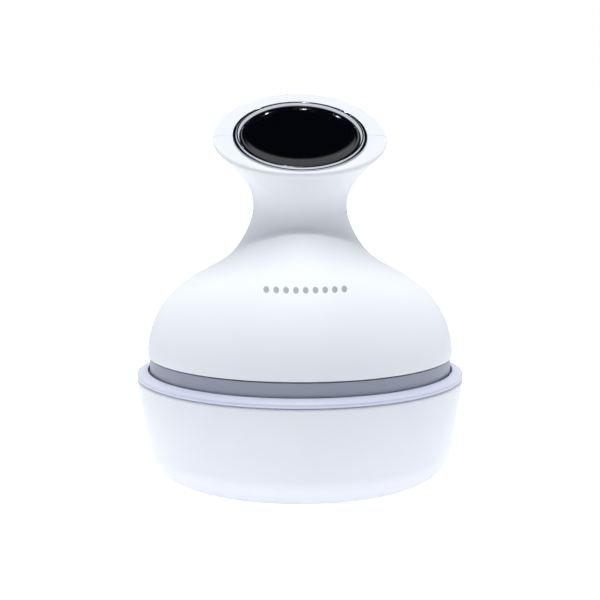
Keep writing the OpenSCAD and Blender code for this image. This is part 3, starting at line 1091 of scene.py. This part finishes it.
@dataclass
class ChargingDock(Assembly):
    """The dock's bowl, its lavender rim and cup, and its feet.

    Attributes:
        rim_r: radius at the rim.
        corner_r: radius of the rounded bottom corner.
        corner_x: radius at which that corner is centred.
        foot_h: height of the feet.
        foot_x: distance of each foot from the axis.
        shell_top: top of the bowl.
        rim_z: height of the rim's inner edge.
        cup_r: inner radius of the cup.
        cup_floor: height of the cup's floor.
        cup_wall: thickness of the cup.
        ledge_z: height of the ledge that the handset stands on.
        pillar_r: radius of the pillar in the cup.
        pillar_z: top of the pillar.
        pin_x: distance of each charging pin from the axis.
        pin_hole_r: radius of the hole that each pin stands in.
        inlet_w: width of the charging inlet.
        inlet_h: height of the charging inlet.
        inlet_z: height of its middle.
        inlet_corner: radius of its rounded ends.
    """

    rim_r: float = 59.0
    corner_r: float = 12.7
    corner_x: float = 42.8
    foot_h: float = 1.0
    foot_x: float = 33.0
    shell_top: float = 37.15
    rim_z: float = 40.3
    cup_r: float = 50.2
    cup_floor: float = 12.0
    cup_wall: float = 1.8
    ledge_z: float = 37.9
    pillar_r: float = 7.0
    pillar_z: float = 36.4
    pin_x: float = 2.9
    pin_hole_r: float = 1.0
    inlet_w: float = 10.0
    inlet_h: float = 4.2
    inlet_z: float = 6.9
    inlet_corner: float = 2.0

    def bowl(self) -> Piece:
        """Turns the white bowl and cuts its charging inlet at the rear.

        Returns:
            The bowl.
        """
        corner_z = self.foot_h + self.corner_r
        wall = 2.2
        profile = [
            (40.0, self.foot_h), *arc(self.corner_x, corner_z, self.corner_r, -90, -6, 24),
            *arc(self.rim_r - 0.95, self.shell_top - 0.85, 0.9, -6, 85, 8),
            (self.rim_r - wall, self.shell_top),
            *arc(self.corner_x, corner_z, self.corner_r - wall, -6, -90, 24),
            (40.0, self.foot_h + wall), (40.0, self.foot_h),
        ]
        bowl = lathe("dock_bowl", profile, 192)
        cut(bowl, self.inlet_cutter())
        return smooth(bowl)

    def inlet_cutter(self) -> Piece:
        """Makes the round-ended bar that cuts the inlet.

        Returns:
            The bar.
        """
        clear_selection()
        bpy.ops.mesh.primitive_cube_add(size=1, location=(0, 53 * MM, self.inlet_z * MM),
                                        scale=(self.inlet_w * MM, 16 * MM, self.inlet_h * MM))
        bar = named("inlet_cutter")
        bpy.ops.object.transform_apply(location=True, rotation=True, scale=True)
        with editing(bar, edges=True):
            bpy.ops.mesh.select_all(action="DESELECT")
        for edge in bar.data.edges:
            ends = [bar.data.vertices[i].co for i in edge.vertices]
            edge.select = abs(ends[0].y - ends[1].y) > 1 * MM
        with editing(bar, edges=True):
            bpy.ops.mesh.bevel(offset=self.inlet_corner * MM, segments=8)
        return bar

    def tray(self) -> Piece:
        """Turns the rim, the cup and its pillar as one wall, with a hole for each pin.

        Returns:
            The rim and cup.
        """
        out = self.cup_r + self.cup_wall
        low = self.cup_floor - self.cup_wall
        bore = 5.4
        spigot = self.rim_r - 2.5
        profile = [
            (bore, low), *arc(out - 5, low + 5, 5, -90, 0, 10),
            (out, self.shell_top - 1.2), (spigot, self.shell_top - 1.2),
            (spigot, self.shell_top + 0.1),
            *arc(self.rim_r - 1.0, self.shell_top + 1.1, 1.0, -90, 30, 10),
            *arc(self.rim_r - 5.46, self.rim_z - 8.31, 8.3, 51, 76, 10),
            *arc(55.35, self.rim_z - 0.4, 0.25, 76, 180, 5),
            (54.9, self.ledge_z), *arc(self.cup_r + 0.3, self.ledge_z - 0.3, 0.3, 90, 180, 3),
            *arc(self.cup_r - 3.2, self.cup_floor + 3.2, 3.2, 0, -90, 10),
            *arc(self.pillar_r + 1, self.cup_floor + 1, 1, 270, 180, 4),
            *arc(self.pillar_r - 0.6, self.pillar_z - 0.6, 0.6, 0, 90, 5),
            (0, self.pillar_z), (0, self.pillar_z - self.cup_wall),
            (bore, self.pillar_z - self.cup_wall), (bore, low),
        ]
        tray = lathe("dock_rim_and_cup", profile, 192)
        for side in (-1, 1):
            cut(tray, rod(self.pin_hole_r, self.pillar_z - 3, self.pillar_z + 1, side * self.pin_x))
        return smooth(tray)

    def feet(self) -> Piece:
        """Turns one rubber foot with a shallow ring groove, and sets four under the dock.

        Returns:
            The four feet as one piece.
        """
        foot = lathe("foot", [
            (0, 0.15), (2.2, 0.15), (2.4, 0), (4.5, 0), *arc(4.6, 0.4, 0.4, -90, 0, 5),
            (5.0, self.foot_h), (0, self.foot_h), (0, 0.15),
        ], 48)
        made = [place(copy_of(foot, f"foot_{i}"), Matrix.Rotation(math.tau * i / 4, 4, "Z")
                      @ Matrix.Translation((self.foot_x * MM, 0, 0))) for i in range(4)]
        bpy.data.objects.remove(foot)
        return smooth(join(made, "rubber_feet"))

    def build(self) -> None:
        """Makes the bowl, the rim with its cup and the feet."""
        self.hand_over(self.bowl(), "dock", "dock_white", "dock_shell")
        self.hand_over(self.tray(), "dock", "dock_rim", "dock_tray")
        self.hand_over(self.feet(), "dock", "dark_rubber", "dock_feet")


class PackedNodes:
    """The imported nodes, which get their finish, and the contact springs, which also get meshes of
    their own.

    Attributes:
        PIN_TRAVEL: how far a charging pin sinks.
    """

    PIN_TRAVEL = 0.001

    def __init__(self, rack: FinishRack, frame: dict) -> None:
        """Keeps the finishes and the frame.

        Args:
            rack: the finishes.
        """
        self.rack = rack
        self.frame = frame

    def build(self) -> None:
        """Dresses every node with the finish that the record names for it."""
        for subpart in self.frame["record"]["subparts"]:
            node = subpart["node"]
            self.rack.dress_node(self.frame["nodes"][node], subpart["material_slot"])
            LOG.info("%s: dressed as %s", node, subpart["material_slot"])
        for side in ("left", "right"):
            self.compress_spring(side)

    def compress_spring(self, side: str) -> None:
        """Gives a contact spring a mesh of its own.

        Args:
            side: which of the two springs, left or right.
        """
        spring = self.frame["nodes"][f"pin_spring_{side}"]
        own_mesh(spring)
        LOG.info("%s: shortens with its pin", spring.name)


# ---------------------------------------------------------------- studio


@dataclass
class Studio:
    """A white floor, soft lights, a pale room and the camera.

    Attributes:
        distance: from the camera to the point it looks at.
        look_at: the height that it looks at, on the axis.
        azimuth: how far the camera stands round to the right, in degrees.
        elevation: how far it looks down, in degrees.
        lens: focal length in millimetres, for a 36 mm sensor.
        lamps: how many small lamps hang behind, for the sparkle on the ring.
    """

    distance: float = 0.579
    look_at: float = 0.0647
    azimuth: float = -2.8
    elevation: float = 8.6
    lens: float = 96.0
    lamps: int = 6

    def camera(self) -> None:
        """Sets up the camera."""
        azimuth = math.radians(self.azimuth)
        elevation = math.radians(self.elevation)
        away = Vector((math.sin(azimuth) * math.cos(elevation),
                       -math.cos(azimuth) * math.cos(elevation), math.sin(elevation)))
        clear_selection()
        bpy.ops.object.camera_add(location=Vector((0, 0, self.look_at)) + away * self.distance)
        camera = bpy.context.object
        camera.rotation_euler = (-away).to_track_quat("-Z", "Y").to_euler()
        camera.data.lens = self.lens
        camera.data.sensor_width = 36
        bpy.context.scene.camera = camera

    @staticmethod
    def panel(name: str, where: Vector, size: tuple[float, float], watts: float,
              colour: Colour, mirrored: bool = False) -> None:
        """Hangs a soft panel light that faces the object.

        Args:
            name: the light's name.
            where: its place.
            size: its width and height.
            watts: its power.
            colour: its colour.
            mirrored: whether glossy surfaces show it.
        """
        clear_selection()
        bpy.ops.object.light_add(type="AREA", location=where)
        light = bpy.context.object
        light.name = name
        light.rotation_euler = (Vector((0, 0, 0.06)) - where).to_track_quat("-Z", "Y").to_euler()
        light.data.shape = "RECTANGLE"
        light.data.size, light.data.size_y = size
        light.data.energy = watts
        light.data.color = colour
        light.visible_glossy = mirrored

    def room(self) -> None:
        """Makes the room: white to the eye, softly lit, and darker up behind for reflections."""
        world = bpy.data.worlds.new("room")
        bpy.context.scene.world = world
        world.use_nodes = True
        nodes, links = world.node_tree.nodes, world.node_tree.links
        nodes.clear()
        output = add_node(nodes, "OutputWorld")
        path = add_node(nodes, "LightPath")
        seen = add_node(nodes, "Background", {"Color": (1, 1, 1, 1)})
        lit = add_node(nodes, "Background", {"Color": (0.8, 0.88, 1, 1), "Strength": 0.12})
        gloss = add_node(nodes, "Background")
        links.new(self.reflected(nodes, links), gloss.inputs["Color"])
        mixed = self.mix(nodes, links, path.outputs["Is Glossy Ray"], lit, gloss)
        final = self.mix(nodes, links, path.outputs["Is Camera Ray"], mixed, seen)
        links.new(final.outputs[0], output.inputs["Surface"])

    @staticmethod
    def mix(nodes: bpy.types.Nodes, links: bpy.types.NodeLinks, mask: bpy.types.NodeSocket,
            first: bpy.types.Node, second: bpy.types.Node) -> bpy.types.Node:
        """Mixes two backgrounds by a mask.

        Args:
            nodes: the world's nodes.
            links: the world's links.
            mask: 0 for first, 1 for second.
            first: one background.
            second: the other background.

        Returns:
            The mixing node.
        """
        node = add_node(nodes, "MixShader")
        links.new(mask, node.inputs["Fac"])
        links.new(first.outputs[0], node.inputs[1])
        links.new(second.outputs[0], node.inputs[2])
        return node

    @staticmethod
    def reflected(nodes: bpy.types.Nodes, links: bpy.types.NodeLinks) -> bpy.types.NodeSocket:
        """Makes what glossy surfaces mirror: a pale room with a dark patch high up behind.

        Args:
            nodes: the world's nodes.
            links: the world's links.

        Returns:
            The socket with its colour.
        """
        middle = math.radians(52)
        direction = add_node(nodes, "TexCoord")
        narrow = add_node(nodes, "VectorMath", {1: (1.5, 1, 1)}, operation="MULTIPLY")
        links.new(direction.outputs["Generated"], narrow.inputs[0])
        unit = add_node(nodes, "VectorMath", operation="NORMALIZE")
        links.new(narrow.outputs["Vector"], unit.inputs[0])
        near = add_node(nodes, "VectorMath", {1: (0.04, math.cos(middle), math.sin(middle))},
                        operation="DOT_PRODUCT")
        links.new(unit.outputs["Vector"], near.inputs[0])
        edge = add_node(nodes, "MapRange", {"From Min": math.cos(math.radians(29)),
                                            "From Max": math.cos(math.radians(24))},
                        interpolation_type="SMOOTHSTEP")
        links.new(near.outputs["Value"], edge.inputs["Value"])
        ramp = add_node(nodes, "Mix", {"A": (0.95, 0.97, 1, 1), "B": (0.003, 0.004, 0.01, 1)},
                        data_type="RGBA")
        links.new(edge.outputs["Result"], ramp.inputs["Factor"])
        return ramp.outputs["Result"]

    def floor(self) -> None:
        """Lays the floor, evenly white to the camera, with a glowing pool round the dock that is
        painted light brightening the dock from below.
        """
        clear_selection()
        bpy.ops.mesh.primitive_plane_add(size=8, location=(0, 0, -0.0001))
        floor = named("floor")
        material = bpy.data.materials.new("floor_white")
        material.use_nodes = True
        nodes = material.node_tree.nodes
        shader = nodes["Principled BSDF"]
        for socket, value in (("Base Color", (0.95, 0.95, 0.96, 1)), ("Roughness", 0.9),
                              ("Emission Color", (1, 1, 1, 1))):
            shader.inputs[socket].default_value = value
        link = material.node_tree.links.new
        away = add_node(nodes, "VectorMath", operation="LENGTH")
        link(add_node(nodes, "TexCoord").outputs["Object"], away.inputs[0])
        # Painted light: the floor glows at 0.42 up to 0.1 m from the axis, fading to none at 0.3 m,
        # to brighten the dock from below.
        painted_glow_pool = add_node(nodes, "MapRange", {"From Min": 0.1, "From Max": 0.3, "To Min": 0.42,
                                             "To Max": 0.0})
        link(away.outputs["Value"], painted_glow_pool.inputs["Value"])
        path = add_node(nodes, "LightPath")
        # To the camera the floor glows fully, for an even white floor; other rays get the painted
        # glow pool.
        glow = add_node(nodes, "Math", operation="MAXIMUM")
        link(path.outputs["Is Camera Ray"], glow.inputs[0])
        link(painted_glow_pool.outputs["Result"], glow.inputs[1])
        link(glow.outputs["Value"], shader.inputs["Emission Strength"])
        floor.data.materials.append(material)

    def build(self) -> None:
        """Sets up camera, room, floor and lights."""
        self.camera()
        self.room()
        self.floor()
        self.panel("overhead", Vector((0, -0.05, 2.4)), (1.3, 1.3), 57, (1, 1, 1))
        self.panel("front_left", Vector((-0.7, -0.9, 0.5)), (0.6, 0.6), 0.3, (0.95, 0.97, 1))
        for name, side in (("left", -1), ("right", 1)):
            self.panel(name, Vector((side * 0.9, -0.15, 0.5)), (0.8, 0.8), 1.5, (0.95, 0.97, 1))
        for i in range(self.lamps):
            across = (i / (self.lamps - 1) - 0.5) * 0.7
            self.panel(f"lamp_{i}", Vector((across, 0.8, 0.85)), (0.014, 0.014), 0.025, (1, 1, 1),
                       mirrored=True)
        bpy.context.scene.view_settings.view_transform = "Standard"


def main() -> None:
    """Builds the object piece by piece, and then the studio."""
    logging.basicConfig(level=logging.INFO, format="%(name)s: %(message)s")
    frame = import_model()
    rack = FinishRack()
    PackedNodes(rack, frame).build()
    for assembly in (HandsetCasing, HeadButton, LowerHousing, KneadingHeads, ChargingDock):
        assembly(rack).build()
        LOG.info("%s built", assembly.__name__)
    Studio().build()


if __name__ == "__main__":
    main()
